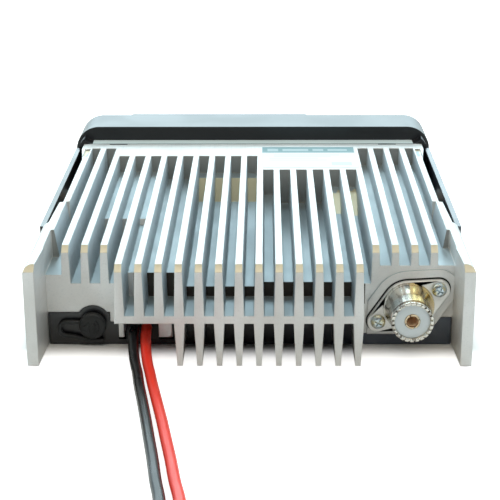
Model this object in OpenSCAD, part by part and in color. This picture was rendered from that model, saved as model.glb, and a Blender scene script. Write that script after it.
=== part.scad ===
// Mobile transceiver lying on its cover, with the heat-sink fins upwards.
// X runs across the rear, +Y from the rear connectors to the front panel, +Z up.
// The origin is at the middle of the underside. Inside the modules, Y starts at the rear of the fins.

/* [Body] */
// Depth from the rear of the fins to the front of the volume knob
overall_d = 212; // [211:0.5:214]
// Depth of the cast chassis
chassis_d = 166; // [165.8:0.1:166]
// Width over the cast side walls
chassis_w = 155.4; // [155.2:0.1:155.6]
// Height of the fin tips above the table
body_h = 40; // [39.8:0.1:40.4]
// Thickness of the cast walls
wall_t = 2.6; // [2.4:0.1:2.7]
// Width over the rear ears
ear_w = 165.2; // [165:0.1:165.4]
// Width over the sheet cover
cover_w = 167.4; // [167.2:0.1:167.6]
// Thickness of the sheet cover
sheet_t = 1.2; // [1:0.1:1.2]

/* [Fins] */
// Distance between fins
fin_pitch = 7.35; // [7.33:0.01:7.36]
// Width of a fin at its tip
fin_tip = 2.6; // [2.4:0.1:2.8]
// Growth of a fin on each side for each millimetre down
fin_draft = 0.028; // [0.02:0.001:0.03]
// Bevel at the rear end of the fin tips
fin_bevel = 2.4; // [2:0.1:2.6]
// Height of the ten lower fins' tips above the table
lower_fin_z = 0.5; // [0.4:0.1:0.8]

/* [Front panel] */
// Width of the front panel
panel_w = 169; // [168.8:0.1:169.4]
// Height of the top of the panel
panel_h = 46.5; // [46:0.1:47]
// Thickness of the panel's walls
panel_t = 2.5; // [2.3:0.1:2.6]

/* [Controls] */
// Diameter of the volume knob
volume_d = 14; // [12:0.5:14.5]
// Diameter of the channel knob
channel_d = 27; // [24:0.5:28]
// Diameter of both control shafts
shaft_d = 6; // [5.8:0.1:6]
// Gap between a shaft and its bushing
shaft_gap = 0.05; // [0.03:0.01:0.08]
// Number of function keys
key_count = 6; // [6:1:6]
// Distance between function keys
key_pitch = 13.6; // [13.2:0.1:13.8]

/* [Sockets] */
// Diameter over the thread of the antenna socket
thread_d = 15.88; // [15.8:0.01:15.9]
// Bore of the antenna socket's centre contact
contact_bore_d = 4; // [3.9:0.05:4.1]
// Teeth around the rim of the antenna socket
rim_teeth = 24; // [20:2:28]
// Diameter of the rubber cap on the speaker jack
cap_d = 10.4; // [10:0.1:10.6]

/* [Power lead] */
// Diameter of each wire
wire_d = 4; // [3.6:0.1:4]

/* [Hidden] */
$fn = 48;
eps = 0.1;
fin_count = 20;
first_mid = 4;          // first of the fins that reach the rear
last_mid = 16;
first_lower = 7;        // the fins from here to last_mid have a lower fin below them
rear_wall_y = 21;       // rear face of the chassis beside the middle fins
rear_wall_t = 3;
shelf_z = 17.4;         // shelf plate under the rear of the middle fins
shelf_t = 3;
floor_t = 2.7;          // metal below the floor of a valley
side_x = chassis_w/2;
ear_x = ear_w/2;
ear_z = 0.4;
ear_round = 3.4;
cover_h = 38;
cover_x = cover_w/2;
// Valleys between fins: first gap, last gap, floor at the rear, where the floor
// starts and ends its rise, floor at the front, closed end
valleys = [
    [0, 0, 28.7, 140, 148, 29, 158.3],
    [1, 1, 25.2, 140, 148, 24.5, 158.3],
    [2, 3, 25.2, 76.6, 77.4, 32.3, 145.5],
    [4, 4, 30, 76.6, 77.4, 32.3, 145.5],
    [5, 6, 30, 130, 138, 28.9, 145.5],
    [7, 10, 24.4, 125, 137.5, 31.8, 145.5],
    [11, 11, 26.2, 98, 112, 28.1, 123.5],
    [12, 14, 26.2, 108, 112, 24.3, 123.5],
    [15, 15, 26.2, 98, 113, 31.8, 123.5],
    [16, 16, 25.2, 98, 113, 31.8, 123.5],
    [17, 20, 32.5, 140, 150, 31.8, 158.3]];
// Rooms under the fins: first fin, last fin, ceiling, start, end
rooms = [
    [0, 4, 22.4, 24, 160],
    [4, 7, 25.3, 24, 142],
    [7, 17, 21.6, 24, 121],
    [17, 21, 29, 24, 161],
    [11, 17, 37.5, 126, 170],
    [4, 11, 37.5, 148, 170]];
socket_pos = [60.4, 17];                    // X and Z of the antenna socket
socket_screws = [[48.9, 11], [71.7, 24]];
jack_pos = [-60.3, 8.5];                    // X and Z of the speaker jack
notch_pos = [-60.1, 9.8];
notch_r = 6.5;
board_z = 12;                               // underside of the main board
board_t = 1.6;
post_places = [[-58, 62], [-58, 148], [60, 66], [60, 148], [0, 60], [-6, 148]];
cover_posts = [[-71, 34], [71, 34], [-71, 150], [71, 150]];
bracket_y = [95, 135];                      // bracket screws in each side
bracket_z = 20;
bracket_hole_r = 2.1;
panel_screw_y = 161;
panel_screw_z = [9.5, 16.5];
module_holes_x = [-12, 42];
module_y = 40;
panel_rear = chassis_d + 0.2;
step_y = 173;                               // the panel rises to its full height here
panel_front = 196;
brow_front = 198;
volume_pos = [-72, 15];
channel_pos = [58, 24];
mic_pos = [-72, 33];
power_key_pos = [35, 10];
key_z = 38.5;
key_size = [11, 5];
key_first_x = -50;
window = [-57, 24, 6.5, 31];                // left, right, low and high edge
speaker_pos = [10, 95];
// Routes of the two wires from the grommet along the table to the plug, Y from the rear of the fins
red_route = [[-39.5, 19.6, 8], [-39.3, 12, 7.2], [-38.7, 5, 5], [-37.7, -2, 2.9], [-36.3, -9, 2.1],
    [-34.4, -20, 2.1], [-31.8, -34, 2.1], [-29.2, -48, 2.1], [-26.8, -62, 2.1], [-24.4, -76, 2.1],
    [-22.2, -90, 2.1], [-20, -102, 2.1], [-19, -112, 2.1], [-16.3, -122, 2.1], [-9, -129.3, 2.1],
    [1, -132, 2.1], [10, -132, 2.1], [19, -132, 2.1]];
black_route = [[-44, 19.6, 8], [-44, 12, 7.2], [-43.4, 5, 5], [-42.3, -2, 2.9], [-40.9, -9, 2.1],
    [-39.3, -20, 2.1], [-36.9, -34, 2.1], [-34.6, -48, 2.1], [-32.4, -62, 2.1], [-30.2, -76, 2.1],
    [-28.2, -90, 2.1], [-26.2, -102, 2.1], [-25.4, -112, 2.1], [-21.9, -125.2, 2.1], [-12.2, -134.9, 2.1],
    [1, -138.4, 2.1], [10, -138.4, 2.1], [19, -138.4, 2.1]];
plug_x = 19;
plug_y = -135.2;

function fin_x(k) = (k - (fin_count + 1)/2)*fin_pitch;
function fin_half(z) = fin_tip/2 + (body_h - z)*fin_draft;
function gap_left(j, z) = j == 0 ? -side_x + wall_t : fin_x(j) + fin_half(z);
function gap_right(j, z) = j == fin_count ? side_x - wall_t : fin_x(j + 1) - fin_half(z);
function is_mid_gap(j) = j >= first_mid && j < last_mid;

// Moves a piece drawn from the rear of the fins to the part's own origin
module at_rear() { translate([0, -overall_d/2, 0]) children(); }
// Extrudes a flat outline drawn in X and Z along +Y, from y0 to y1
module along_y(y0, y1) {
    translate([0, y1, 0]) rotate([90, 0, 0]) linear_extrude(y1 - y0) children();
}
// Extrudes a flat outline drawn in Y and Z along +X, from x0 to x1
module along_x(x0, x1) {
    translate([x0, 0, 0]) rotate([90, 0, 90]) linear_extrude(x1 - x0) children();
}
module both_sides() {
    children();
    mirror([1, 0, 0]) children();
}
module block(x, y, z) { translate([x[0], y[0], z[0]]) cube([x[1] - x[0], y[1] - y[0], z[1] - z[0]]); }
module area(x, z) { translate([x[0], z[0]]) square([x[1] - x[0], z[1] - z[0]]); }
// Hole that runs in from the right-hand side
module hole_x(y, z, r) { translate([90, y, z]) rotate([0, -90, 0]) cylinder(r = r, h = 20); }
module rod_y(pos, r, y0, y1) {
    translate([pos[0], y0, pos[1]]) rotate([-90, 0, 0]) cylinder(r = r, h = y1 - y0);
}
module round_area(x, z, r) {
    area([x[0] + r, x[1] - r], z);
    area(x, [z[0] + r, z[1] - r]);
    for (cx = [x[0] + r, x[1] - r], cz = [z[0] + r, z[1] - r]) translate([cx, cz]) circle(r);
}
function arc(centre, r, a0, a1, steps) =
    [for (i = [0:steps]) let (a = a0 + (a1 - a0)*i/steps) centre + r*[cos(a), sin(a)]];
// Plate outline with a round middle and two small round ends, joined by straight tangents
module oval_outline(half, mid_r, end_r) {
    a = acos((mid_r - end_r)/half);
    polygon(concat(arc([half, 0], end_r, -a, a, 12), arc([0, 0], mid_r, a, 180 - a, 16),
        arc([-half, 0], end_r, 180 - a, 180 + a, 12), arc([0, 0], mid_r, 180 + a, 360 - a, 16)));
}
module at_socket(y) {
    along = socket_screws[1] - socket_screws[0];
    translate([socket_pos[0], y, socket_pos[1]]) rotate([90, 0, 0]) rotate(atan2(along[1], along[0]))
        children();
}
function socket_half() = norm(socket_screws[1] - socket_screws[0])/2;

// ---- chassis ----
module valley_cut(j, v) {
    start = is_mid_gap(j) ? -1 : rear_wall_y - 1;
    intersection() {
        along_y(start, v[6]) polygon([[gap_left(j, 20), 20], [gap_right(j, 20), 20],
            [gap_right(j, body_h + 1), body_h + 1], [gap_left(j, body_h + 1), body_h + 1]]);
        along_x(-side_x, side_x) polygon(concat(
            is_mid_gap(j) ? [[-2, shelf_z + shelf_t], [rear_wall_y - 1, shelf_z + shelf_t]] : [],
            [[rear_wall_y - (is_mid_gap(j) ? 1 : 2), v[2]], [v[3], v[2]], [v[4], v[5]], [v[6] + 1, v[5]],
             [v[6] + 1, body_h + 2], [is_mid_gap(j) ? -2 : rear_wall_y - 2, body_h + 2]]));
    }
}
module mid_block() {
    left = fin_x(first_mid);
    right = fin_x(last_mid);
    along_y(0, rear_wall_y + 1) polygon([
        [left - fin_half(shelf_z), shelf_z], [right + fin_half(shelf_z), shelf_z],
        [right + fin_half(body_h), body_h], [left - fin_half(body_h), body_h]]);
}
module lower_fin(k) {
    top_half = fin_half(shelf_z);
    translate([fin_x(k), 0, 0]) along_y(0, rear_wall_y) polygon([[-1, lower_fin_z], [1, lower_fin_z],
        [top_half, shelf_z + eps], [-top_half, shelf_z + eps]]);
}
module ear() {
    difference() {
        linear_extrude(body_h - ear_z) polygon([[ear_x - 4.2, 0], [ear_x, 0], [ear_x, 24], [83, 46],
            [83, 50], [80, 50.1], [79.2, 76], [side_x - eps, 76.4], [side_x - eps, rear_wall_y]]);
        along_y(-1, 80) difference() {
            area([ear_x - ear_round, ear_x + 2], [body_h - ear_z - ear_round, body_h]);
            translate([ear_x - ear_round, body_h - ear_z - ear_round]) circle(ear_round);
        }
    }
}
// Openings below the rear wall: speaker jack, grommet, rear flange of the cover
module rear_wall_openings() {
    area([-77.6, -53.5], [0, 13.5]);
    translate(notch_pos) circle(notch_r);
    area([-53.6, -50.3], [0, 9.5]);
    area([-50.4, -48.2], [0, 3.1]);
    area([-48.2, -34.5], [0, shelf_z]);
    area([-34.6, -29.6], [0, 3.1]);
    area([-29.6, 42.2], [0, shelf_z]);
    area([42, 67], [0, 4.8]);
    area([66.9, 77.6], [0, 11.5]);
}
module tip_bevel(y, x0, x1) {
    along_x(x0, x1)
        polygon([[y - 1, body_h - fin_bevel - 1], [y - 1, body_h + 1], [y + fin_bevel + 1, body_h + 1]]);
}
module chassis() color("gainsboro") at_rear() difference() {
    union() {
        difference() {
            union() {
                block([-side_x, side_x], [rear_wall_y, chassis_d], [1.6, body_h]);
                both_sides() translate([0, 0, ear_z]) ear();
            }
            for (r = rooms) block([max(fin_x(r[0]), -side_x + wall_t), min(fin_x(r[1]), side_x - wall_t)],
                [r[3], r[4]], [0, r[2]]);
            block([-side_x + wall_t, side_x - wall_t], [24, chassis_d + 1], [0, 21.6]);
            along_y(rear_wall_y - 1, rear_wall_y + rear_wall_t + eps) rear_wall_openings();
            both_sides() block([77.4, 84], [50, 80], [0, 1.6]);
            block([side_x - wall_t, 77.9], [rear_wall_y - 1, 41], [32.5, 41]);
            block([-77.9, wall_t - side_x], [rear_wall_y - 1, 41], [28.7, 41]);
            both_sides() along_y(40.9, 77)
                polygon([[side_x - wall_t, 30], [76.6, body_h], [76.6, 41], [side_x - wall_t, 41]]);
        }
        mid_block();
        for (k = [first_lower:last_mid]) lower_fin(k);
        for (p = post_places) translate([p[0], p[1], board_z + board_t]) cylinder(r = 3, h = 16.5);
        for (p = cover_posts) translate([p[0], p[1], sheet_t]) cylinder(r = 3.8, h = p[0] < 0 ? 22 : 29);
        block([-17, 47], [28, 52], [20.5, 22]);
        both_sides() for (y = bracket_y) translate([side_x - wall_t, y, bracket_z]) rotate([0, 90, 0])
            cylinder(r = 6, h = 7.3);
        intersection() {
            at_socket(rear_wall_y + eps) linear_extrude(0.9) oval_outline(socket_half(), 13.4, 7.6);
            block([45, side_x], [20, 22], [4.8, 36]);
        }
        block([-49.5, -47.6], [13, rear_wall_y + 1], [6.5, shelf_z + eps]);
        along_y(13, rear_wall_y + 1) {
            area([-34.4, -29.4], [8.1, shelf_z + eps]);
            area([-34.4, -31], [6.5, 8.2]);
            translate([-31, 8.1]) circle(1.6);
        }
        both_sides() translate([0, 0, 24]) linear_extrude(body_h - 24)
            polygon([[side_x - eps, 139], [79.9, 157], [79.9, chassis_d], [side_x - eps, chassis_d]]);
    }
    for (v = valleys, j = [v[0]:v[1]]) valley_cut(j, v);
    tip_bevel(0, fin_x(first_mid) - 3, fin_x(last_mid) + 3);
    tip_bevel(rear_wall_y, -side_x, fin_x(first_mid) - 2.9);
    tip_bevel(rear_wall_y, fin_x(last_mid) + 2.9, side_x);
    both_sides() {
        tip_bevel(0, ear_x - 5.2, ear_x + 1);
        block([59.3, 67.8], [chassis_d - 1.2, chassis_d + 1], [38, 41]);
        along_x(75.8, 78.3)
            polygon([[144, body_h - 1.6], [157, body_h - 0.7], [157, body_h + 1], [144, body_h + 1]]);
        for (y = bracket_y) hole_x(y, bracket_z, bracket_hole_r);
        for (z = panel_screw_z) hole_x(panel_screw_y, z, 1.3);
    }
    for (p = post_places) translate([p[0], p[1], board_z]) cylinder(r = 1.25, h = 8);
    for (p = cover_posts) translate([p[0], p[1], 0]) cylinder(r = 1.25, h = 12);
    for (x = module_holes_x) translate([x, module_y, 18]) cylinder(r = 1.5, h = 4.8);
    rod_y(socket_pos, 6.5, 18, 25);
    for (p = socket_screws) rod_y(p, 1.25, 18, 25);
}

// ---- cover ----
module cover_rear_flange() {
    difference() {
        union() {
            area([-77.3, -53.8], [0, 13.2]);
            translate(notch_pos) circle(notch_r - 0.3);
            area([-53.9, -50.6], [0, 9.2]);
            area([-50.7, -29.3], [0, 1.9]);
            area([-29.3, 41.8], [0, shelf_z - 0.3]);
            area([41.7, 66.6], [0, 4.5]);
            area([66.5, 77.3], [0, 11.2]);
        }
        translate(jack_pos) circle(4.3);
    }
}
module grille_slots() {
    for (i = [-4:4]) {
        half = sqrt(24*24 - pow(i*5, 2)) - 2;
        translate([speaker_pos[0] - half, speaker_pos[1] + i*5 - 1, -1]) cube([2*half, 2, 3]);
    }
}
module cover() color("#22262b") at_rear() difference() {
    union() {
        block([-cover_x, cover_x], [50.7, chassis_d], [0, sheet_t]);
        block([-77.3, 77.3], [rear_wall_y + 0.4, 51], [0, sheet_t]);
        both_sides() {
            block([cover_x - sheet_t, cover_x], [50.7, chassis_d], [0, cover_h]);
            block([cover_x - 2.1, cover_x], [50.7, chassis_d], [cover_h - sheet_t, cover_h]);
        }
        along_y(rear_wall_y + 0.4, rear_wall_y + 0.4 + sheet_t) cover_rear_flange();
    }
    grille_slots();
    for (p = cover_posts) translate([p[0], p[1], 0.2]) {
        cylinder(r1 = 2.4, r2 = 1.6, h = 0.8);
        translate([0, 0, -1]) cylinder(r = 2.4, h = 1.01);
        cylinder(r = 1.6, h = 3);
    }
    both_sides() for (y = bracket_y)
        translate([90, y, bracket_z]) rotate([0, -90, 0]) cylinder(r = 3.2, h = 8);
}
module cover_screws() color("#3a3d42") at_rear() for (p = cover_posts) translate([p[0], p[1], 0.2]) {
    cylinder(r1 = 2.35, r2 = 1.25, h = 0.9);
    cylinder(r = 1.25, h = 9);
}

// ---- front panel ----
// Outline of the panel in X and Z, with large top corners, drawn d inside the outermost one
module panel_outline(d) {
    w = panel_w/2 - d;
    r = 11 - d;
    area([-w, w], [0.6 + d, panel_h - 11]);
    area([-w + r, w - r], [panel_h - 11 - eps, panel_h - d]);
    for (s = [-1, 1]) translate([s*(w - r), panel_h - 11]) circle(r, $fn = 96);
}
module key_area(i, gap) {
    x = key_first_x + i*key_pitch;
    area([x - key_size[0]/2 - gap, x + key_size[0]/2 + gap],
        [key_z - key_size[1]/2 - gap, key_z + key_size[1]/2 + gap]);
}
module front_panel() color("#1b1d20") at_rear() difference() {
    union() {
        difference() {
            union() {
                along_y(step_y, panel_front) panel_outline(0);
                along_y(panel_rear, step_y + eps) difference() {
                    panel_outline(1.5);
                    round_area([-80.5, 80.5], [body_h, panel_h + 6], 4.5);
                }
            }
            along_y(panel_rear - 2, step_y + panel_t + eps) intersection() {
                panel_outline(panel_t + 1.5);
                area([-90, 90], [0, body_h - panel_t]);
            }
            along_y(step_y + panel_t, panel_front - panel_t) panel_outline(panel_t);
            along_x(-76.2, 76.2) polygon([[panel_rear - 1, body_h - 1.2], [panel_rear + 3.6, body_h - 1.2],
                [step_y, body_h], [step_y, body_h + 1], [panel_rear - 1, body_h + 1]]);
        }
        along_y(panel_front - 1, brow_front) round_area([-61.7, 28], [3, panel_h], 3);
        both_sides() {
            block([72.4, 75], [157, panel_rear + 8], [6, 20]);
            block([72.4, 82], [panel_rear, panel_rear + panel_t], [6, 20]);
        }
    }
    along_y(190, 194.5) area([window[0] + 1.5, window[1] - 1.5], [window[2] + 1.5, window[3] - 1.5]);
    along_y(194.5, 200) area([window[0] - 0.1, window[1] + 0.1], [window[2] - 0.1, window[3] + 0.1]);
    for (i = [0:key_count - 1]) along_y(190, 200) key_area(i, 0.25);
    rod_y(power_key_pos, 3.45, 190, 200);
    rod_y(volume_pos, 4.1, 190, 200);
    rod_y(channel_pos, 4.1, 190, 200);
    along_y(190, 200) area([mic_pos[0] - 8, mic_pos[0] + 8], [mic_pos[1] - 7, mic_pos[1] + 7]);
    both_sides() for (z = panel_screw_z) hole_x(panel_screw_y, z, 1.25);
}
module panel_screws() color("silver") at_rear() both_sides() for (z = panel_screw_z)
    translate([side_x + 1.6, panel_screw_y, z]) rotate([0, -90, 0]) {
        cylinder(r = 2.6, h = 1.6);
        cylinder(r = 1.25, h = 6.6);
    }
module display_window() color("#2a3c44") at_rear()
    along_y(194.5, 196.4) area([window[0], window[1]], [window[2], window[3]]);
module lcd_module() color("#9fb08a") at_rear()
    block([window[0] + 1.6, window[1] - 1.6], [186.2, 189], [window[2] + 1.6, window[3] - 1.6]);
module lcd_holder() color("white") at_rear() difference() {
    block([window[0], window[1]], [179.6, 188.5], [window[2], window[3]]);
    block([window[0] + 1.6, window[1] - 1.6], [186.2, 190], [window[2] + 1.6, window[3] - 1.6]);
}
module tact_switch(x, z) {
    block([x - 3, x + 3], [179.5, 184.4], [z - 3, z + 3]);
    rod_y([x, z], 1.7, 184.3, 186.6);
}
module control_board() color("#2d6b45") at_rear() {
    block([-77, 77], [178, 179.6], [4, 42.4]);
    for (i = [0:key_count - 1]) tact_switch(key_first_x + i*key_pitch, key_z);
    tact_switch(power_key_pos[0], power_key_pos[1]);
    block([-8, 14], [173.4, 178.1], [12, 17]);
}
module panel_ribbon() color("#c9c2a8") at_rear() along_x(-6, 12) polygon([[152, 13.7], [164, 13.7],
    [168, 14.4], [173.3, 14.4], [173.3, 14.7], [168, 14.7], [163.9, 14], [152, 14]]);

// ---- controls ----
module control_body(pos, w) difference() {
    union() {
        block([pos[0] - w/2, pos[0] + w/2], [179.7, 187], [pos[1] - w/2, pos[1] + w/2]);
        rod_y(pos, 4, 186.9, 196);
    }
    rod_y(pos, shaft_d/2 + shaft_gap, 181.5, 197);
}
module control_shaft(pos) rod_y(pos, shaft_d/2, 181.7, 207);
module knob(pos, r, y0, y1) difference() {
    translate([pos[0], y0, pos[1]]) rotate([-90, 0, 0]) rotate_extrude()
        polygon([[0, 0], [r - 0.4, 0], [r, 0.4],
        [r, 1.6], [r - 0.8, 2.4], [r - 1.1, y1 - y0 - 1.2], [r - 2.2, y1 - y0], [0, y1 - y0]]);
    rod_y(pos, shaft_d/2, y0 - 1, 207);
}
module volume_pot() color("#4f5458") at_rear() control_body(volume_pos, 12);
module volume_shaft() color("silver") at_rear() control_shaft(volume_pos);
module volume_knob() color("#26282b") at_rear() knob(volume_pos, volume_d/2, 197, overall_d);
module channel_encoder() color("#4f5458") at_rear() control_body(channel_pos, 13);
module channel_shaft() color("silver") at_rear() control_shaft(channel_pos);
module channel_knob() color("#26282b") at_rear() knob(channel_pos, channel_d/2, 197, 211.5);
module power_key() color("#b5531f") at_rear() {
    rod_y(power_key_pos, 3.2, 187.4, 198.2);
    rod_y(power_key_pos, 4.2, 191.2, 192.6);
}
module key(i) color("#3c4045") at_rear() {
    x = key_first_x + i*key_pitch;
    along_y(187.4, 199.4) key_area(i, 0);
    block([x - 6.3, x + 6.3], [191.2, 192.6], [key_z - 3.3, key_z + 3.3]);
}
module key_1() key(0);
module key_2() key(1);
module key_3() key(2);
module key_4() key(3);
module key_5() key(4);
module key_6() key(5);
module mic_socket() color("#101214") at_rear() difference() {
    block([mic_pos[0] - 7.8, mic_pos[0] + 7.8], [179.7, 196.4], [mic_pos[1] - 6.8, mic_pos[1] + 6.8]);
    block([mic_pos[0] - 5.9, mic_pos[0] + 5.9], [183, 198], [mic_pos[1] - 3.4, mic_pos[1] + 3.4]);
    block([mic_pos[0] - 3, mic_pos[0] + 3], [183, 198], [mic_pos[1] - 5.4, mic_pos[1]]);
}

// ---- inside ----
module main_board() color("#2f7048") at_rear() difference() {
    block([-65, 65], [27, 155], [board_z, board_z + board_t]);
    for (p = post_places) translate([p[0], p[1], board_z - 1]) cylinder(r = 1.6, h = 4);
}
module board_screws() color("silver") at_rear() for (p = post_places) translate([p[0], p[1], board_z - 2]) {
    cylinder(r = 2.75, h = 2);
    cylinder(r = 1.25, h = 9);
}
module power_module() color("#d8cfae") at_rear() difference() {
    union() {
        block([-16, 46], [module_y - 10, module_y + 10], [18.1, 20.5]);
        block([-7, 37], [module_y - 9, module_y + 9], [14, 18.2]);
        for (x = [-4, 4, 20, 34]) block([x - 0.4, x + 0.4], [module_y + 8.9, module_y + 11], [13.6, 15]);
    }
    for (x = module_holes_x) translate([x, module_y, 17]) cylinder(r = 1.6, h = 5);
}
module module_screws() color("silver") at_rear() for (x = module_holes_x) translate([x, module_y, 16]) {
    cylinder(r = 2.75, h = 2.1);
    cylinder(r = 1.5, h = 6.5);
}
module shield_can() color("#b9bec4") at_rear() difference() {
    block([-50, -12], [100, 140], [13.6, 20]);
    block([-49.6, -12.4], [100.4, 139.6], [13, 19.6]);
}
module filter_coils() color("#b5702f") at_rear() for (y = [41, 50, 59])
    translate([54, y, 17.2]) rotate([0, 90, 0]) difference() {
        cylinder(r = 3.6, h = 9);
        translate([0, 0, -1]) cylinder(r = 2.7, h = 11);
    }
module electrolytic_caps() color("#27303c") at_rear() for (p = [[-40, 50], [-29, 44], [-40, 66]])
    translate([p[0], p[1], 13.6]) cylinder(r = 4, h = 7);
module speaker_gasket() color("#2b2b2b") at_rear()
    translate([speaker_pos[0], speaker_pos[1], sheet_t]) difference() {
        cylinder(r = 26, h = 0.8);
        translate([0, 0, -1]) cylinder(r = 24, h = 3);
    }
module speaker() color("#4a4d50") at_rear()
    translate([speaker_pos[0], speaker_pos[1], sheet_t + 0.8]) rotate_extrude() polygon([[0, 1.6], [8, 1.6],
        [22, 0.4], [24, 0], [26, 0], [26, 1.2], [24, 2], [15, 5], [11, 5], [11, 7.6], [0, 7.6]]);

// ---- rear connectors ----
module antenna_socket() color("#c9b98a") at_rear() difference() {
    union() {
        at_socket(19.9) linear_extrude(2) oval_outline(socket_half(), 10, 4.1);
        translate([socket_pos[0], 18.6, socket_pos[1]]) rotate([90, 0, 0]) rotate_extrude()
            polygon([[0, 0], [9.8, 0], [9.8, 1], [thread_d/2, 7], [thread_d/2, 16.6], [0, 16.6]]);
        rod_y(socket_pos, 6.3, 19.8, 26);
    }
    rod_y(socket_pos, 5, 1, 27);
    rod_y(socket_pos, 6.6, 1, 17);
    for (i = [1:rim_teeth])
        translate([socket_pos[0], 2, socket_pos[1]]) rotate([0, (i + 0.5)*360/rim_teeth, 0])
            translate([6.5, -1, -0.45]) cube([3, 1.9, 0.9]);
    for (p = socket_screws) rod_y(p, 1.6, 17, 21);
}
module antenna_insulator() color("white") at_rear() difference() {
    union() {
        rod_y(socket_pos, 6.6, 3.2, 17);
        rod_y(socket_pos, 5, 16.9, 27);
    }
    rod_y(socket_pos, 2.9, 2, 28);
}
module antenna_contact() color("#c7a765") at_rear() difference() {
    union() {
        rod_y(socket_pos, 2.9, 2.8, 27);
        rod_y(socket_pos, 1.3, 26.9, 33);
    }
    rod_y(socket_pos, contact_bore_d/2, 1, 16.6);
}
module antenna_gasket() color("#151617") at_rear() difference() {
    at_socket(20.2) linear_extrude(0.3) oval_outline(socket_half(), 10.5, 4.6);
    rod_y(socket_pos, 6.4, 19, 21);
    for (p = socket_screws) rod_y(p, 1.6, 19, 21);
}
module antenna_screws() color("silver") at_rear() for (p = socket_screws) difference() {
    union() {
        translate([p[0], 17.9, p[1]]) rotate([90, 0, 0]) rotate_extrude()
            polygon([[0, 0], [2.8, 0], [2.8, 0.9], [2.5, 1.5], [1.6, 2], [0, 2.1]]);
        rod_y(p, 1.25, 17.8, 26);
    }
    for (a = [0, 90]) translate([p[0], 15.7, p[1]]) rotate([0, a + 30, 0])
        translate([-1.5, 0, -0.3]) cube([3, 1.2, 0.6]);
}
module speaker_jack() color("#17191b") at_rear() difference() {
    union() {
        block([-65.8, -54.8], [24, 38], [3.2, 11.9]);
        rod_y(jack_pos, 4, 21, 24.1);
    }
    rod_y(jack_pos, 1.85, 20, 36.5);
}
module jack_cap() color("#202224") at_rear() {
    translate([jack_pos[0], 20.8, jack_pos[1]]) rotate([90, 0, 0]) rotate_extrude()
        polygon([[0, 0], [cap_d/2, 0], [cap_d/2, 2.3], [cap_d/2 - 0.6, 2.9], [0, 2.9]]);
    rod_y(jack_pos, 1.75, 20.7, 33);
}
// Flat strap that loops from beside the cap to its rivet below
module cap_strap() color("#202224") at_rear() {
    along_y(18.9, 20.9) {
        area([-70.2, -66.2], [8.8, 10.6]);
        difference() {
            translate([-70.2, 6.9]) circle(3.7);
            translate([-70.2, 6.9]) circle(1.9);
            area([-70.2, -66], [2, 12]);
        }
        polygon([[-70.2, 3.2], [-62, 1.6], [-56, 1.4], [-56, 3], [-61.6, 3.1], [-70.2, 5]]);
    }
}
module cable_grommet() color("#1a1b1d") at_rear() block([-47.5, -34.5], [19.6, 26.4], [2.1, 17.2]);

// ---- power lead ----
// Rings of a tube along a route: each ring lies square to the line between its neighbours
function ring(route, i, r, sides) =
    let (n = len(route), d = route[min(i + 1, n - 1)] - route[max(i - 1, 0)], t = d/norm(d),
         s = cross(t, [0, 0, 1]), a = s/norm(s), b = cross(a, t))
    [for (k = [0:sides - 1]) route[i] + r*(cos(k*360/sides)*a + sin(k*360/sides)*b)];
module tube(route, r, sides = 8) {
    n = len(route);
    polyhedron(
        points = [for (i = [0:n - 1]) each ring(route, i, r, sides)],
        faces = concat([[for (k = [0:sides - 1]) k]],
            [for (i = [0:n - 2], k = [0:sides - 1])
                [i*sides + k, (i + 1)*sides + k, (i + 1)*sides + (k + 1)%sides, i*sides + (k + 1)%sides]],
            [[for (k = [sides - 1:-1:0]) (n - 1)*sides + k]]),
        convexity = 6);
}
module power_lead_red() color("#e02a1c") at_rear() tube(red_route, wire_d/2);
module power_lead_black() color("#1c1c1e") at_rear() tube(black_route, wire_d/2);
module power_plug() color("#e8e6dc") at_rear() difference() {
    union() {
        block([plug_x, plug_x + 17], [plug_y - 8, plug_y + 8], [0, 8.4]);
        block([plug_x + 16.9, plug_x + 26], [plug_y - 6.6, plug_y + 6.6], [0.8, 7.6]);
    }
    for (y = [-3.2, 3.2])
        translate([plug_x + 8, plug_y + y, 4.2]) rotate([0, 90, 0]) cylinder(r = 2.1, h = 20);
}
module plug_contacts() color("gold") at_rear() for (y = [-3.2, 3.2])
    translate([plug_x + 8, plug_y + y, 4.2]) rotate([0, 90, 0]) cylinder(r = 1.2, h = 15);

module rating_label() color("#dfe9ec") at_rear() block([4.5, 48], [125.7, 160.6], [body_h, body_h + 0.15]);

chassis();
cover();
cover_screws();
front_panel();
panel_screws();
display_window();
lcd_module();
lcd_holder();
control_board();
panel_ribbon();
volume_pot();
volume_shaft();
volume_knob();
channel_encoder();
channel_shaft();
channel_knob();
power_key();
key_1();
key_2();
key_3();
key_4();
key_5();
key_6();
mic_socket();
main_board();
board_screws();
power_module();
module_screws();
shield_can();
filter_coils();
electrolytic_caps();
speaker();
speaker_gasket();
antenna_socket();
antenna_insulator();
antenna_contact();
antenna_gasket();
antenna_screws();
speaker_jack();
jack_cap();
cap_strap();
cable_grommet();
power_lead_red();
power_lead_black();
power_plug();
plug_contacts();
rating_label();
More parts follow.
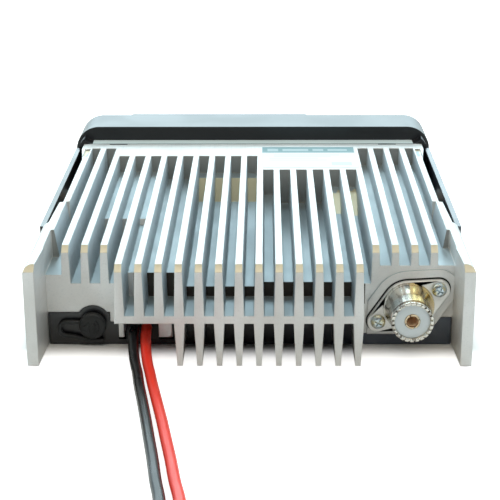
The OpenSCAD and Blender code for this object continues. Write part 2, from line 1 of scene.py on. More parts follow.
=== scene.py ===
import bpy, bmesh, math
import numpy as np
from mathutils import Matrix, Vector


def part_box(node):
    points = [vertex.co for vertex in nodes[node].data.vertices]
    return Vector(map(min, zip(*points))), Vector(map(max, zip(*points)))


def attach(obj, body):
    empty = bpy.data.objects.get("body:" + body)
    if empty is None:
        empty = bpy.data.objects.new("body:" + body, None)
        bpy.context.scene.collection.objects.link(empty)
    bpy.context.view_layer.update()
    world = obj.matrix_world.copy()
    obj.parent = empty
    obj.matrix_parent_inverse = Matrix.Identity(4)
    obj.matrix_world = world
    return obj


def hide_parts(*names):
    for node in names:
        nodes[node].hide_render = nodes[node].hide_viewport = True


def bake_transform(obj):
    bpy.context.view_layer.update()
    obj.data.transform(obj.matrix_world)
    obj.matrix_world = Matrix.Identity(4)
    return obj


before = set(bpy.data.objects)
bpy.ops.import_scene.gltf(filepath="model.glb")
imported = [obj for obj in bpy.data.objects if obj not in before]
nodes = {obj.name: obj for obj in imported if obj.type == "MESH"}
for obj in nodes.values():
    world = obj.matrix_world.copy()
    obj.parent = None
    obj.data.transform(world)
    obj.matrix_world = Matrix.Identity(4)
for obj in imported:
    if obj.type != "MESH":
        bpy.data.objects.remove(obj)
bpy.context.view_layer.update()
mm = 0.001
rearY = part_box("chassis")[0].y   # places below are in mm, with Y counted from the rear of the fins


def at(x, y, z):
    return Vector((x * mm, rearY + y * mm, z * mm))


def shift(points):
    # numpy points in mm, Y from the rear, to metres in the frame
    return np.asarray(points, float) * mm + np.array([0, rearY, 0])


def makeObject(name, mesh, material=None):
    piece = bpy.data.objects.new(name, mesh)
    bpy.context.scene.collection.objects.link(piece)
    if material is not None:
        mesh.materials.append(material)
    return piece


def smoothByAngle(mesh, degrees):
    mesh.polygons.foreach_set("use_smooth", np.ones(len(mesh.polygons), bool))
    mesh.set_sharp_from_angle(angle=math.radians(degrees))


def settle(piece, body, slotName, *replaced):
    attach(piece, body)
    if replaced:
        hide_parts(*replaced)
    return piece


def bevelledCopy(node, width, material, segments=2, angle=30, limit=1.0):
    # the CAD solid's own shape with small rounds on its edges
    mesh = nodes[node].data.copy()
    b = bmesh.new()
    b.from_mesh(mesh)
    bmesh.ops.remove_doubles(b, verts=b.verts, dist=1e-6)
    bmesh.ops.dissolve_limit(b, angle_limit=math.radians(limit), verts=b.verts, edges=b.edges)
    b.to_mesh(mesh)
    b.free()
    mesh.materials.clear()
    piece = makeObject(node + "Look", mesh, material)
    bevel = piece.modifiers.new("roundEdges", "BEVEL")
    bevel.width = width * mm
    bevel.segments = segments
    bevel.limit_method = "ANGLE"
    bevel.angle_limit = math.radians(angle)
    smoothByAngle(mesh, 50)
    return piece


def gridMesh(name, points, closeU=False, closeV=False, capV=False, smooth=40):
    # points is (u, v, 3) in metres; faces join neighbours, round the ends where asked
    nu, nv = points.shape[:2]
    index = np.arange(nu * nv).reshape(nu, nv)
    rows = np.vstack([index, index[:1]]) if closeU else index
    rows = np.hstack([rows, rows[:, :1]]) if closeV else rows
    quads = np.stack([rows[:-1, :-1], rows[1:, :-1], rows[1:, 1:], rows[:-1, 1:]], -1).reshape(-1, 4)
    faces = quads.tolist()
    if capV:
        faces += [index[:, 0].tolist(), index[::-1, -1].tolist()]
    mesh = bpy.data.meshes.new(name)
    mesh.from_pydata(points.reshape(-1, 3).tolist(), [], faces)
    b = bmesh.new()
    b.from_mesh(mesh)
    bmesh.ops.remove_doubles(b, verts=b.verts, dist=1e-7)
    bmesh.ops.recalc_face_normals(b, faces=b.faces)
    b.to_mesh(mesh)
    b.free()
    smoothByAngle(mesh, smooth)
    return mesh


def joinMeshes(name, meshes, smooth=40):
    b = bmesh.new()
    for mesh in meshes:
        b.from_mesh(mesh)
    joined = bpy.data.meshes.new(name)
    b.to_mesh(joined)
    b.free()
    smoothByAngle(joined, smooth)
    return joined


def turned(name, place, profile, steps=96, smooth=40):
    # profile rows are (radius, y); the surface is (x + r cos a, y, z + r sin a)
    p = np.array(profile, float)
    a = np.linspace(0, 2 * np.pi, steps, endpoint=False)
    radius, y = p[:, :1], np.repeat(p[:, 1:], steps, 1)
    points = np.stack([place[0] + radius * np.cos(a), y, place[1] + radius * np.sin(a)], -1)
    return gridMesh(name, shift(points), closeV=True, smooth=smooth)


def slab(name, outline, y0, y1, smooth=30):
    # outline rows are (x, z), closed; the sheet runs from y0 to y1
    o = np.array(outline, float)
    points = np.stack([np.stack([o[:, 0], np.full(len(o), y), o[:, 1]], -1) for y in (y0, y1)], 1)
    return gridMesh(name, shift(points), closeU=True, capV=True, smooth=smooth)


def ring(centre, r, a0, a1, n):
    a = np.radians(np.linspace(a0, a1, n))
    return [(centre[0] + r * math.cos(t), centre[1] + r * math.sin(t)) for t in a]


def newMaterial(name):
    material = bpy.data.materials.new(name)
    material.use_nodes = True
    return material, material.node_tree, material.node_tree.nodes["Principled BSDF"]


def setInputs(node, **values):
    for key, value in values.items():
        node.inputs[key.replace("_", " ")].default_value = value


def nodeOf(tree, kind, **values):
    node = tree.nodes.new(kind)
    setInputs(node, **values)
    return node


def mathNode(tree, operation, first, second=None, clamp=False):
    node = tree.nodes.new("ShaderNodeMath")
    node.operation = operation
    node.use_clamp = clamp
    for socket, value in zip(node.inputs, (first, second)):
        if value is None:
            continue
        if isinstance(value, (int, float)):
            socket.default_value = value
        else:
            tree.links.new(value, socket)
    return node.outputs[0]


def mixColour(tree, mask, first, second):
    node = tree.nodes.new("ShaderNodeMix")
    node.data_type = "RGBA"
    for socket, value in ((node.inputs[0], mask), (node.inputs[6], first), (node.inputs[7], second)):
        if isinstance(value, tuple):
            socket.default_value = (*value, 1)
        elif isinstance(value, (int, float)):
            socket.default_value = value
        else:
            tree.links.new(value, socket)
    return node.outputs[2]


def rampNode(tree, value, low, high):
    # 0 below low, 1 above high
    node = tree.nodes.new("ShaderNodeMapRange")
    node.interpolation_type = "SMOOTHSTEP"
    setInputs(node, From_Min=low, From_Max=high)
    tree.links.new(value, node.inputs["Value"])
    return node.outputs["Result"]


def splitAxes(tree, vector):
    parts = tree.nodes.new("ShaderNodeSeparateXYZ")
    tree.links.new(vector, parts.inputs[0])
    return parts.outputs


def times(tree, first, second, clamp=False):
    return mathNode(tree, "MULTIPLY", first, second, clamp)


def newGroup(name, inputs, outputs):
    group = bpy.data.node_groups.new(name, "ShaderNodeTree")
    for label, value in inputs:
        socket = group.interface.new_socket(label, in_out="INPUT", socket_type="NodeSocketFloat")
        socket.default_value = value
    for label, kind in outputs:
        group.interface.new_socket(label, in_out="OUTPUT", socket_type=kind)
    return group, group.nodes.new("NodeGroupInput"), group.nodes.new("NodeGroupOutput")


def buildGrainGroup():
    # fine grain over broad unevenness, for bump and for a slight change of tone
    group, given, result = newGroup("surfaceGrain", [("Scale", 1500.0), ("Spread", 60.0)],
                                    [("Height", "NodeSocketFloat"), ("Tone", "NodeSocketFloat")])
    place = group.nodes.new("ShaderNodeTexCoord").outputs["Object"]
    fine = nodeOf(group, "ShaderNodeTexNoise", Detail=5.0, Roughness=0.65)
    broad = nodeOf(group, "ShaderNodeTexNoise", Detail=3.0, Roughness=0.5)
    for noise, label in ((fine, "Scale"), (broad, "Spread")):
        group.links.new(place, noise.inputs["Vector"])
        group.links.new(given.outputs[label], noise.inputs["Scale"])
    height = mathNode(group, "ADD", fine.outputs[0], times(group, broad.outputs[0], 0.6))
    group.links.new(height, result.inputs["Height"])
    group.links.new(rampNode(group, broad.outputs[0], 0.35, 0.65), result.inputs["Tone"])
    return group


def buildWearGroup():
    # 1 on worn edges: where the rounded normal leaves the true one, broken up by noise
    group, given, result = newGroup("edgeWear", [("Radius", 0.0005), ("Amount", 0.5)],
                                    [("Mask", "NodeSocketFloat"), ("Normal", "NodeSocketVector")])
    soft = nodeOf(group, "ShaderNodeBevel")
    soft.samples = 4
    group.links.new(given.outputs["Radius"], soft.inputs["Radius"])
    geometry = group.nodes.new("ShaderNodeNewGeometry")
    dot = group.nodes.new("ShaderNodeVectorMath")
    dot.operation = "DOT_PRODUCT"
    group.links.new(soft.outputs[0], dot.inputs[0])
    group.links.new(geometry.outputs["Normal"], dot.inputs[1])
    edge = rampNode(group, mathNode(group, "SUBTRACT", 1.0, dot.outputs["Value"]), 0.02, 0.16)
    noise = nodeOf(group, "ShaderNodeTexNoise", Scale=260.0, Detail=4.0)
    group.links.new(group.nodes.new("ShaderNodeTexCoord").outputs["Object"], noise.inputs["Vector"])
    broken = times(group, edge, rampNode(group, noise.outputs[0], 0.42, 0.6))
    group.links.new(times(group, broken, given.outputs["Amount"], True), result.inputs["Mask"])
    group.links.new(soft.outputs[0], result.inputs["Normal"])
    return group


def buildDustGroup():
    # specks and film that settle on faces that look up
    group, given, result = newGroup("fineDust", [("Amount", 0.3)], [("Mask", "NodeSocketFloat")])
    facing = splitAxes(group, group.nodes.new("ShaderNodeNewGeometry").outputs["Normal"])
    upward = rampNode(group, facing["Z"], 0.3, 1.0)
    place = group.nodes.new("ShaderNodeTexCoord").outputs["Object"]
    film = nodeOf(group, "ShaderNodeTexNoise", Scale=90.0, Detail=6.0)
    specks = nodeOf(group, "ShaderNodeTexNoise", Scale=1900.0, Detail=1.0)
    for noise in (film, specks):
        group.links.new(place, noise.inputs["Vector"])
    cover = mathNode(group, "ADD", times(group, rampNode(group, film.outputs[0], 0.4, 0.75), 0.5),
                     rampNode(group, specks.outputs[0], 0.66, 0.72))
    dusty = times(group, upward, cover, True)
    group.links.new(times(group, dusty, given.outputs["Amount"], True), result.inputs["Mask"])
    return group


grainGroup = buildGrainGroup()
wearGroup = buildWearGroup()
dustGroup = buildDustGroup()


def useGroup(tree, group, **values):
    node = tree.nodes.new("ShaderNodeGroup")
    node.node_tree = group
    setInputs(node, **values)
    return node


dustColour = (0.42, 0.41, 0.38)


def surface(name, colour, metallic=0.0, roughness=0.5, grain=1500.0, spread=60.0, bump=0.1, vary=0.06,
            tone=0.92, dust=0.0, wear=0.0, wornColour=(0.5, 0.5, 0.5), radius=0.0003, coat=0.0, specular=0.5,
            coatRough=0.1, reflectionAcross=None):
    # a material with grain, slow changes of tone and gloss, worn edges and dust
    material, tree, shader = newMaterial(name)
    setInputs(shader, Metallic=metallic, Coat_Weight=coat, Coat_Roughness=coatRough,
              Specular_IOR_Level=specular)
    grained = useGroup(tree, grainGroup, Scale=grain, Spread=spread)
    shade = tuple(c * tone for c in colour)
    result = mixColour(tree, grained.outputs["Tone"], colour, shade)
    if reflectionAcross:
        # painted reflection: the colour changes across the part, from one X to another
        x0, x1, reflectedColour = reflectionAcross
        spot = splitAxes(tree, tree.nodes.new("ShaderNodeTexCoord").outputs["Object"])
        result = mixColour(tree, rampNode(tree, spot["X"], x0, x1), result, reflectedColour)
    rough = mathNode(tree, "ADD", times(tree, grained.outputs["Tone"], vary), roughness - vary / 2)
    worn = useGroup(tree, wearGroup, Radius=radius, Amount=wear)
    if wear:
        result = mixColour(tree, worn.outputs["Mask"], result, wornColour)
    if dust:
        dusty = useGroup(tree, dustGroup, Amount=dust)
        result = mixColour(tree, dusty.outputs["Mask"], result, dustColour)
        rough = mathNode(tree, "ADD", rough, times(tree, dusty.outputs["Mask"], 0.4), True)
    tree.links.new(result, shader.inputs["Base Color"])
    tree.links.new(rough, shader.inputs["Roughness"])
    raised = nodeOf(tree, "ShaderNodeBump", Strength=bump, Distance=0.0002)
    tree.links.new(grained.outputs["Height"], raised.inputs["Height"])
    tree.links.new(worn.outputs["Normal"], raised.inputs["Normal"])
    tree.links.new(raised.outputs[0], shader.inputs["Normal"])
    return material


castSettings = {
    "light": (0.76, 0.76, 0.75), "dark": (0.69, 0.685, 0.665),      # the two tones of the skin
    "drawn": (0.5, 0.53, 0.55), "worn": (0.84, 0.82, 0.78),
    "step": (0.05, 0.042, 0.032), "end": (0.34, 0.34, 0.325),       # painted shade on the faces across the valleys that look to the rear
    "low": (0.38, 0.45, 0.48), "wall": (0.62, 0.69, 0.73),          # floors and walls between the fins: painted shade, tinted blue as a painted reflection of the pale light; floors darker
    "ramp": (0.62, 0.54, 0.36), "tip": (0.68, 0.62, 0.47),          # painted warm reflection on the ramps in front and the chamfers behind
    "metallic": 0.45, "roughness": 0.36,
    # where these colours are, in metres, with Y from the rear of the fins
    "valleyZ": (0.017, 0.0398), "valleyHalf": 0.0776,
    "middleY": (0.015, 0.1), "middleHalf": 0.044,
    "pocketY": (0.03, 0.05), "pocketX": 0.075,
    "frontY": 0.1, "tipZ": 0.0365,
}


def within(tree, value, low, high):
    # one where low < value < high
    return times(tree, mathNode(tree, "GREATER_THAN", value, low), mathNode(tree, "LESS_THAN", value, high))


def colourValleys(tree, skin, place, s):
    # painted shade and painted reflection in and around the valleys, by masks from the place of a face and
    # from the way it looks; later ones cover earlier ones
    spot = splitAxes(tree, place)
    facing = splitAxes(tree, tree.nodes.new("ShaderNodeNewGeometry").outputs["Normal"])
    aside = mathNode(tree, "ABSOLUTE", spot["X"])
    middleY, pocketY = ([rearY + y for y in s[key]] for key in ("middleY", "pocketY"))
    inner = times(tree, within(tree, spot["Z"], *s["valleyZ"]), within(tree, aside, -1, s["valleyHalf"]))
    behind = times(tree, mathNode(tree, "LESS_THAN", facing["Y"], -0.7), inner)
    middle = times(tree, within(tree, aside, -1, s["middleHalf"]), within(tree, spot["Y"], *middleY))
    pocket = times(tree, within(tree, aside, s["pocketX"], 1), within(tree, spot["Y"], *pocketY))
    front = within(tree, spot["Y"], rearY + s["frontY"], 1)
    raw = times(tree, inner, within(tree, facing["Y"], -0.5, 2))
    slope = times(tree, within(tree, facing["Z"], 0.3, 0.985), within(tree, facing["Y"], -0.9, -0.15))
    masks = {
        # wall and low: painted shade between the fins, tinted blue as a painted reflection of the pale light
        "wall": times(tree, raw, within(tree, facing["Z"], -2, 0.99)),
        "low": times(tree, raw, within(tree, facing["Z"], 0.5, 2)),
        # end and step: painted shade on faces that look to the rear across the valleys
        "end": times(tree, behind, mathNode(tree, "MAXIMUM", front, pocket)),
        "step": times(tree, behind, middle),
        # ramp and tip: painted warm reflection on faces that slope up towards the rear
        "ramp": times(tree, slope, times(tree, inner, front)),
        "tip": times(tree, slope, within(tree, spot["Z"], s["tipZ"], 0.1)),
    }
    for key, mask in masks.items():
        skin = mixColour(tree, mask, skin, s[key])
    return skin


def buildCastMaterial(s):
    # cast metal: mottled skin, faint drawn lines along the fins, bright worn edges, some dust; painted shade
    # on the steps and valley ends, painted shade with a painted blue reflection between the fins, a painted
    # warm reflection on the slopes
    material, tree, shader = newMaterial("castAluminium")
    setInputs(shader, Metallic=s["metallic"])
    grained = useGroup(tree, grainGroup, Scale=900.0, Spread=55.0)
    worn = useGroup(tree, wearGroup, Radius=0.0006, Amount=0.5)
    dusty = useGroup(tree, dustGroup, Amount=0.04)
    place = tree.nodes.new("ShaderNodeTexCoord").outputs["Object"]
    stretch = nodeOf(tree, "ShaderNodeMapping", Scale=(1.0, 0.02, 1.0))
    tree.links.new(place, stretch.inputs["Vector"])
    lines = nodeOf(tree, "ShaderNodeTexNoise", Scale=1400.0, Detail=3.0)
    tree.links.new(stretch.outputs[0], lines.inputs["Vector"])
    skin = mixColour(tree, grained.outputs["Tone"], s["light"], s["dark"])
    drawn = times(tree, rampNode(tree, lines.outputs[0], 0.5, 0.75), 0.25)
    skin = mixColour(tree, drawn, skin, s["drawn"])
    skin = mixColour(tree, worn.outputs["Mask"], skin, s["worn"])
    skin = colourValleys(tree, skin, place, s)
    tree.links.new(mixColour(tree, dusty.outputs["Mask"], skin, dustColour), shader.inputs["Base Color"])
    gloss = times(tree, grained.outputs["Tone"], 0.08)
    tree.links.new(mathNode(tree, "ADD", gloss, s["roughness"]), shader.inputs["Roughness"])
    relief = mathNode(tree, "ADD", grained.outputs["Height"], times(tree, lines.outputs[0], 0.7))
    raised = nodeOf(tree, "ShaderNodeBump", Strength=0.05, Distance=0.0002)
    tree.links.new(relief, raised.inputs["Height"])
    tree.links.new(worn.outputs["Normal"], raised.inputs["Normal"])
    tree.links.new(raised.outputs[0], shader.inputs["Normal"])
    return material


castAluminium = buildCastMaterial(castSettings)
# the black turns blue-grey across the cover's width: a painted reflection of the pale light
coverPaint = surface("coverPaint", (0.009, 0.010, 0.012), 0.0, 0.32, 700.0, 30.0, 0.08, 0.1, 0.8, dust=0.12,
                     wear=0.35, wornColour=(0.2, 0.2, 0.19), radius=0.0004, coat=0.5, coatRough=0.25,
                     reflectionAcross=(-0.02, 0.06, (0.045, 0.060, 0.085)))
panelPlastic = surface("panelPlastic", (0.005, 0.006, 0.008), 0.0, 0.33, 2600.0, 40.0, 0.05, 0.05, 0.9,
                       dust=0.04, radius=0.0006, coat=0.35, coatRough=0.3, specular=0.4)
# pale blue-grey: painted reflection on the ledge behind the panel's brow
lipReflectionPaint = surface("lipReflectionPaint", (0.80, 0.93, 0.95), 0.0, 0.35, 2600.0, 40.0, 0.06, 0.06, 0.92)
knobPlastic = surface("knobPlastic", (0.016, 0.0165, 0.018), 0.0, 0.45, 2400.0, 60.0, 0.12, 0.08, 0.85,
                      dust=0.15)
keyPlastic = surface("keyPlastic", (0.05, 0.053, 0.058), 0.0, 0.5, 2600.0, 60.0, 0.12, 0.05, 0.92, dust=0.1)
powerPlastic = surface("powerPlastic", (0.62, 0.13, 0.02), 0.0, 0.4, 2400.0, 60.0, 0.08, 0.05, 0.9)
darkPlastic = surface("darkPlastic", (0.009, 0.009, 0.010), 0.0, 0.5, 2200.0, 60.0, 0.1, 0.06, 0.9)
blackRubber = surface("blackRubber", (0.014, 0.0155, 0.0165), 0.0, 0.55, 1900.0, 70.0, 0.2, 0.1, 0.75,
                      dust=0.12)
blackScrew = surface("blackScrew", (0.02, 0.02, 0.022), 0.0, 0.35, 1200.0, 90.0, 0.05, wear=0.6,
                     wornColour=(0.35, 0.35, 0.34), radius=0.0002)
steelShaft = surface("steelShaft", (0.6, 0.6, 0.6), 1.0, 0.3, 1800.0, 90.0, 0.05)
tinnedSteel = surface("tinnedSteel", (0.66, 0.67, 0.68), 1.0, 0.33, 1100.0, 60.0, 0.08, 0.14, 0.85)
controlBody = surface("controlBody", (0.34, 0.35, 0.36), 1.0, 0.42, 1400.0, 80.0, 0.08)
contactBore = surface("contactBore", (0.80, 0.60, 0.42), 0.1, 0.55, 1500.0, 200.0, 0.05)
flangeMetal = surface("flangeMetal", (0.88, 0.87, 0.84), 0.7, 0.42, 1500.0, 90.0, 0.06, 0.1, 0.95,
                      radius=0.0002)
contactMetal = surface("contactMetal", (0.70, 0.56, 0.38), 1.0, 0.3, 1500.0, 200.0, 0.05, 0.15, 0.8,
                       radius=0.0001)
whiteInsulator = surface("whiteInsulator", (0.70, 0.77, 0.80), 0.0, 0.4, 1300.0, 120.0, 0.06, 0.08, 0.95)
whitePlastic = surface("whitePlastic", (0.75, 0.75, 0.72), 0.0, 0.5, 1600.0, 60.0, 0.06)
copperWire = surface("copperWire", (0.6, 0.24, 0.1), 1.0, 0.3, 1500.0, 90.0, 0.05, coat=0.8)
moduleCeramic = surface("moduleCeramic", (0.66, 0.61, 0.47), 0.0, 0.6, 1700.0, 90.0, 0.1)
capSleeve = surface("capSleeve", (0.02, 0.035, 0.1), 0.0, 0.3, 1500.0, 60.0, 0.03, coat=0.5)
speakerSteel = surface("speakerSteel", (0.05, 0.05, 0.055), 0.4, 0.45, 1500.0, 60.0, 0.08)
ribbonFilm = surface("ribbonFilm", (0.62, 0.56, 0.42), 0.0, 0.4, 900.0, 60.0, 0.04)
plugNylon = surface("plugNylon", (0.72, 0.71, 0.64), 0.0, 0.5, 1500.0, 90.0, 0.08, dust=0.1, radius=0.0004)
redSleeve = surface("redSleeve", (1.0, 0.045, 0.022), 0.0, 0.35, 700.0, 60.0, 0.06, 0.08, 0.96, coat=0.2)
blackSleeve = surface("blackSleeve", (0.01, 0.01, 0.011), 0.0, 0.28, 700.0, 60.0, 0.06, 0.08, 0.85, coat=0.3)


platingSettings = {
    "silver": (0.74, 0.72, 0.66), "gold": (0.86, 0.66, 0.30), "darkStreak": (0.22, 0.19, 0.17),
    "goldX": (0.0585, 0.0615), "goldY": (0.0025, 0.004),       # metres, where the silver turns to the painted warm reflection
}


def buildSocketMaterial(s):
    # plating, silver, with a painted warm reflection on one side and darker streaks along the barrel
    material, tree, shader = newMaterial("socketMetal")
    setInputs(shader, Metallic=1.0, Roughness=0.2)
    place = tree.nodes.new("ShaderNodeTexCoord").outputs["Object"]
    spot = splitAxes(tree, place)
    streak = nodeOf(tree, "ShaderNodeMapping", Scale=(1.0, 0.03, 1.0))
    tree.links.new(place, streak.inputs["Vector"])
    # darker streaks along the barrel
    darkStreak = nodeOf(tree, "ShaderNodeTexNoise", Scale=520.0, Detail=3.0)
    tree.links.new(streak.outputs[0], darkStreak.inputs["Vector"])
    # the warm side is a painted reflection of warm light
    beside = rampNode(tree, spot["X"], *s["goldX"])
    behind = rampNode(tree, spot["Y"], *[rearY + y for y in s["goldY"]])
    colour = mixColour(tree, times(tree, beside, behind), s["silver"], s["gold"])
    streaked = times(tree, rampNode(tree, darkStreak.outputs[0], 0.5, 0.62), 0.7)
    tree.links.new(mixColour(tree, streaked, colour, s["darkStreak"]), shader.inputs["Base Color"])
    return material


def buildScrewMaterial():
    # zinc plating, whose thin film tints from blue to straw
    material, tree, shader = newMaterial("zincScrew")
    setInputs(shader, Metallic=1.0, Roughness=0.26)
    tint = nodeOf(tree, "ShaderNodeTexNoise", Scale=420.0, Detail=2.0)
    tree.links.new(tree.nodes.new("ShaderNodeTexCoord").outputs["Object"], tint.inputs["Vector"])
    blue, straw = (0.62, 0.72, 0.78), (0.78, 0.72, 0.48)
    film = mixColour(tree, rampNode(tree, tint.outputs[0], 0.4, 0.62), blue, straw)
    tree.links.new(film, shader.inputs["Base Color"])
    soft = nodeOf(tree, "ShaderNodeBevel", Radius=0.0002)
    tree.links.new(soft.outputs[0], shader.inputs["Normal"])
    return material


def buildBoardMaterial():
    # green lacquer over copper tracks, with pads where the lacquer is open
    material, tree, shader = newMaterial("circuitBoard")
    setInputs(shader, Roughness=0.35, Coat_Weight=0.4)
    place = tree.nodes.new("ShaderNodeTexCoord").outputs["Object"]
    bricks = nodeOf(tree, "ShaderNodeTexBrick", Scale=180.0, Mortar_Size=0.03)
    tree.links.new(place, bricks.inputs["Vector"])
    cells = nodeOf(tree, "ShaderNodeTexVoronoi", Scale=330.0)
    tree.links.new(place, cells.inputs["Vector"])
    lacquer, track, tin = (0.012, 0.11, 0.045), (0.03, 0.2, 0.08), (0.6, 0.58, 0.5)
    tracks = mixColour(tree, bricks.outputs["Fac"], lacquer, track)
    pads = mathNode(tree, "LESS_THAN", cells.outputs["Distance"], 0.16)
    tree.links.new(mixColour(tree, pads, tracks, tin), shader.inputs["Base Color"])
    tree.links.new(times(tree, pads, 0.8), shader.inputs["Metallic"])
    return material


def bandMask(tree, value, low, high, soft=0.00008):
    rise = rampNode(tree, value, low - soft, low + soft)
    fall = rampNode(tree, value, high - soft, high + soft)
    return mathNode(tree, "SUBTRACT", rise, fall, True)


labelSettings = {
    # each box has its left, right, rear and front edge in mm
    "banner": (4.6, 47.2, 150.2, 159.8),
    "lines": [(10, 40, 145.9, 146.8), (10, 36, 143.8, 144.6), (8, 30, 140.6, 141.3),
              (8, 34, 137.6, 138.3), (36, 45, 129.5, 134.5)],
    "blots": [(7, 12, 152.6, 157.0), (14, 26, 153.0, 156.6), (28, 33, 153.0, 156.6), (35, 44, 153.2, 156.2)],
    "film": (0.80, 0.84, 0.86), "bannerColour": (0.20, 0.36, 0.40),
    "lineColour": (0.62, 0.70, 0.72), "blotColour": (0.44, 0.58, 0.62),
}


def buildLabelMaterial(s):
    # pale film with a blue-grey banner and plain bars where a label has its marks
    material, tree, shader = newMaterial("labelFilm")
    setInputs(shader, Roughness=0.45)
    spot = splitAxes(tree, tree.nodes.new("ShaderNodeTexCoord").outputs["Object"])

    def boxMask(box):
        low, high = at(box[0], box[2], 0), at(box[1], box[3], 0)
        across = bandMask(tree, spot["X"], low.x, high.x)
        return times(tree, across, bandMask(tree, spot["Y"], low.y, high.y))

    result = mixColour(tree, boxMask(s["banner"]), s["film"], s["bannerColour"])
    for bar in s["lines"]:
        result = mixColour(tree, boxMask(bar), result, s["lineColour"])
    for blot in s["blots"]:
        result = mixColour(tree, boxMask(blot), result, s["blotColour"])
    tree.links.new(result, shader.inputs["Base Color"])
    return material


def buildWindowMaterial():
    # smoked pane that shows the display, clear to light at a right angle
    material, tree, shader = newMaterial("smokedWindow")
    setInputs(shader, Base_Color=(0.30, 0.36, 0.38, 1), Roughness=0.06, Transmission_Weight=0.92, IOR=1.45)
    grained = useGroup(tree, grainGroup, Scale=300.0, Spread=20.0)
    raised = nodeOf(tree, "ShaderNodeBump", Strength=0.01, Distance=0.0001)
    tree.links.new(grained.outputs["Height"], raised.inputs["Height"])
    tree.links.new(raised.outputs[0], shader.inputs["Normal"])
    return material


socketMetal = buildSocketMaterial(platingSettings)
zincScrew = buildScrewMaterial()
circuitBoard = buildBoardMaterial()
labelFilm = buildLabelMaterial(labelSettings)
smokedWindow = buildWindowMaterial()
lcdGlass = surface("lcdGlass", (0.50, 0.60, 0.36), 0.0, 0.25, 600.0, 30.0, 0.01, 0.03, 0.97)
lcdInk = surface("lcdInk", (0.02, 0.03, 0.02), 0.0, 0.4, 600.0, 30.0, 0.01)
print("materials made")

cameraSettings = {
    "place": (5.9, -475.5, 217.5),           # mm, Y from the rear of the fins
    "turn": (70.2, 0.21, 0.58),              # degrees
    "lens": 100.8, "sensor": 36,
}


def addCamera(s):
    lens = bpy.data.cameras.new("camera")
    lens.lens = s["lens"]
    lens.sensor_width = s["sensor"]
    lens.clip_start, lens.clip_end = 0.01, 50
    camera = bpy.data.objects.new("camera", lens)
    bpy.context.scene.collection.objects.link(camera)
    camera.location = at(*s["place"])
    camera.rotation_euler = [math.radians(a) for a in s["turn"]]
    bpy.context.scene.camera = camera


addCamera(cameraSettings)
print("camera placed")

leadSettings = {
    # mm; each route runs from the grommet to the plug
    "diameter": 4.0,
    "red": [(-39.5, 19.6, 8), (-39.3, 12, 7.2), (-38.7, 5, 5), (-37.7, -2, 2.9), (-36.3, -9, 2.1),
            (-34.4, -20, 2.1), (-31.8, -34, 2.1), (-29.2, -48, 2.1), (-26.8, -62, 2.1), (-24.4, -76, 2.1),
            (-22.2, -90, 2.1), (-20, -102, 2.1), (-19, -112, 2.1), (-16.3, -122, 2.1), (-9, -129.3, 2.1),
            (1, -132, 2.1), (10, -132, 2.1), (19, -132, 2.1)],
    "black": [(-44, 19.6, 8), (-44, 12, 7.2), (-43.4, 5, 5), (-42.3, -2, 2.9), (-40.9, -9, 2.1),
              (-39.3, -20, 2.1), (-36.9, -34, 2.1), (-34.6, -48, 2.1), (-32.4, -62, 2.1), (-30.2, -76, 2.1),
              (-28.2, -90, 2.1), (-26.2, -102, 2.1), (-25.4, -112, 2.1), (-21.9, -125.2, 2.1),
              (-12.2, -134.9, 2.1), (1, -138.4, 2.1), (10, -138.4, 2.1), (19, -138.4, 2.1)],
    # metres
    "redLength": 0.184, "blackLength": 0.194,
}


def makeWire(name, route, material):
    curve = bpy.data.curves.new(name, "CURVE")
    curve.dimensions = "3D"
    curve.bevel_depth = leadSettings["diameter"] / 2 * mm
    curve.bevel_resolution = 6
    curve.resolution_u = 8
    curve.use_fill_caps = True
    spline = curve.splines.new("BEZIER")
    spline.bezier_points.add(len(route) - 1)
    for knot, place in zip(spline.bezier_points, route):
        knot.co = at(*place)
        knot.handle_left_type = knot.handle_right_type = "AUTO"
    curve.materials.append(material)
    return makeObject(name, curve)


for shade, material in (("red", redSleeve), ("black", blackSleeve)):
    wire = makeWire(shade + "Wire", leadSettings[shade], material)
    settle(wire, "root", shade + "_wire", "power_lead_" + shade)
print("power lead laid")

